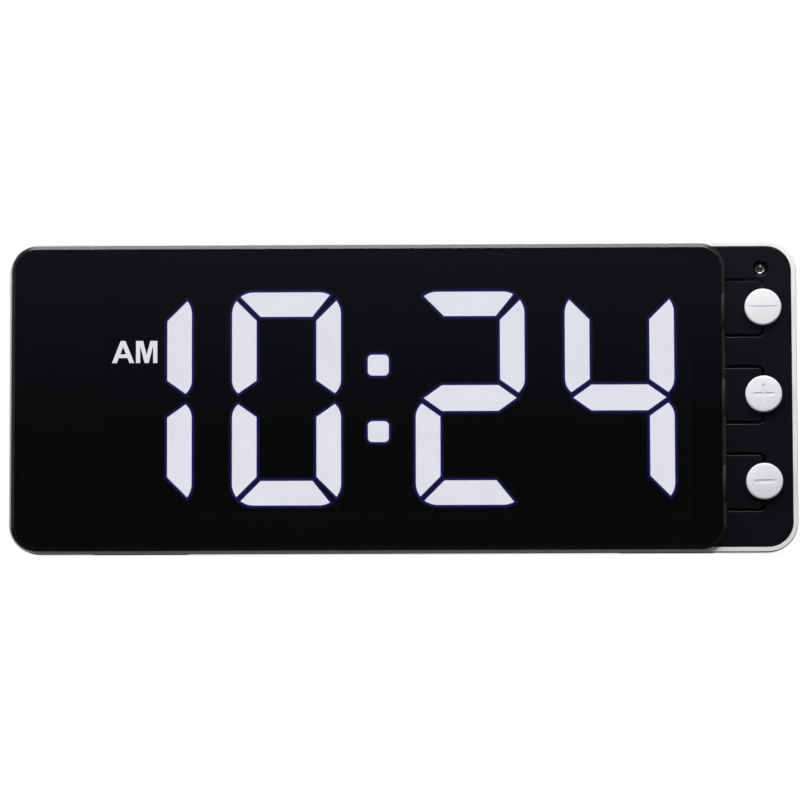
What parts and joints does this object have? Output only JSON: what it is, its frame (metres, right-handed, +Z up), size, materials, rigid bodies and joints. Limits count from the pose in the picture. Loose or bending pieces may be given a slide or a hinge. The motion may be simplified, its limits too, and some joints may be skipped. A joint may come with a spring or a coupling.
{
  "type": "projection alarm clock",
  "caption": "Wide digital alarm clock: smoked lens over large white segment digits, white rim, round side buttons, rear pod with a swivelling projector",
  "frame": {"origin": "middle of the clock's footprint on the table, standing on its feet", "axes": "+X to the right seen from the front, +Y from the face to the rear, +Z up"},
  "size_m": [0.24, 0.0547, 0.0946],
  "materials": {
    "case_white": "fine satin moulded white",
    "panel_black": "fine satin black",
    "smoked_lens": "polished smoked acrylic",
    "adhesive_tape": "black foam tape",
    "reflector": "black printed face, white wells",
    "segment_dark": "unlit diffuser",
    "segment_lit": "lit milky diffuser",
    "led_package": "moulded lamp package",
    "circuit_board": "solder mask over glass fibre",
    "screw_steel": "zinc plated",
    "switch_black": "moulded black",
    "sensor_clear": "clear epoxy",
    "chip_black": "epoxy package",
    "plated_metal": "bright plated",
    "foot_rubber": "soft grey silicone",
    "drum_grey": "satin moulded",
    "optics_glass": "clear moulded lens",
    "slide_film": "dark film disc",
    "ring_black": "knurled grip",
    "cell_steel": "nickel plated",
    "contact_brass": "sprung strip",
    "knob_black": "ridged",
    "button_white": "satin moulded white",
    "plunger_brown": "switch plunger"
  },
  "bodies": {
    "case": {"rear_shell": "case_white", "front_panel": "panel_black", "front_lens": "smoked_lens", "lens_tape": "adhesive_tape", "segment_reflector": "reflector", "unlit_segments": "segment_dark", "colon_dots": "segment_lit", "am_indicator": "segment_lit", "segment_leds": "led_package", "main_board": "circuit_board", "board_screws": "screw_steel", "case_screws": "screw_steel", "switch_bodies": "switch_black", "light_sensor": "sensor_clear", "microcontroller": "chip_black", "clock_crystal": "plated_metal", "capacitors": "plated_metal", "buzzer": "switch_black", "front_foot_left": "foot_rubber", "front_foot_right": "foot_rubber", "rear_foot_left": "foot_rubber", "rear_foot_right": "foot_rubber", "projector_cradle": "case_white", "cradle_screws": "screw_steel", "battery_holder": "switch_black", "coin_cell": "cell_steel", "battery_contact": "contact_brass", "rear_board": "circuit_board", "rear_board_screws": "screw_steel", "power_socket": "plated_metal", "slide_switch": "switch_black", "hour_tens_segments": "segment_lit", "hour_units_segments": "segment_lit", "minute_tens_segments": "segment_lit", "minute_units_segments": "segment_lit"},
    "mode_key": {"mode_button": "button_white", "mode_tongue": "panel_black", "mode_plunger": "plunger_brown"},
    "plus_key": {"plus_button": "button_white", "plus_tongue": "panel_black", "plus_plunger": "plunger_brown"},
    "minus_key": {"minus_button": "button_white", "minus_tongue": "panel_black", "minus_plunger": "plunger_brown"},
    "projector_drum": {"drum_top": "drum_grey", "drum_bottom": "drum_grey", "optics_carrier": "switch_black", "lamp_board": "circuit_board", "projector_lamp": "sensor_clear", "condenser_lens": "optics_glass", "image_slide": "slide_film"},
    "projector_focus": {"focus_ring": "ring_black", "objective_lens": "optics_glass"},
    "battery_cover": {"battery_door": "case_white"},
    "projector_switch": {"slide_knob": "knob_black"}
  },
  "joints": [
    {"name": "mode_press", "type": "hinge", "parent": "case", "child": "mode_key", "pos_m": [0.089, -0.01256, 0.07432], "axis": [0, 0.1392, 0.9903], "range_deg": [0, 0.8344], "stiffness_Nm_per_rad": 1.2},
    {"name": "plus_press", "type": "hinge", "parent": "case", "child": "plus_key", "pos_m": [0.089, -0.01625, 0.04802], "axis": [0, 0.1392, 0.9903], "range_deg": [0, 0.8344], "stiffness_Nm_per_rad": 1.2},
    {"name": "minus_press", "type": "hinge", "parent": "case", "child": "minus_key", "pos_m": [0.089, -0.01995, 0.02173], "axis": [0, 0.1392, 0.9903], "range_deg": [0, 0.8344], "stiffness_Nm_per_rad": 1.2},
    {"name": "projector_swivel", "type": "hinge", "parent": "case", "child": "projector_drum", "pos_m": [0, 0.01593, 0.06572], "axis": [-1, 0, 0], "range_deg": [0, 90]},
    {"name": "focus_turn", "type": "hinge", "parent": "projector_drum", "child": "projector_focus", "pos_m": [0, 0.01593, 0.06572], "axis": [0, 0.1392, 0.9903], "range_deg": [0, 120]},
    {"name": "battery_door_turn", "type": "hinge", "parent": "case", "child": "battery_cover", "pos_m": [-0.038, 0.02337, 0.02529], "axis": [0, -0.9903, 0.1392], "range_deg": [0, 45]},
    {"name": "projector_switch_slide", "type": "slide", "parent": "case", "child": "projector_switch", "axis": [1, 0, 0], "range_m": [0, 0.003]}
  ]
}
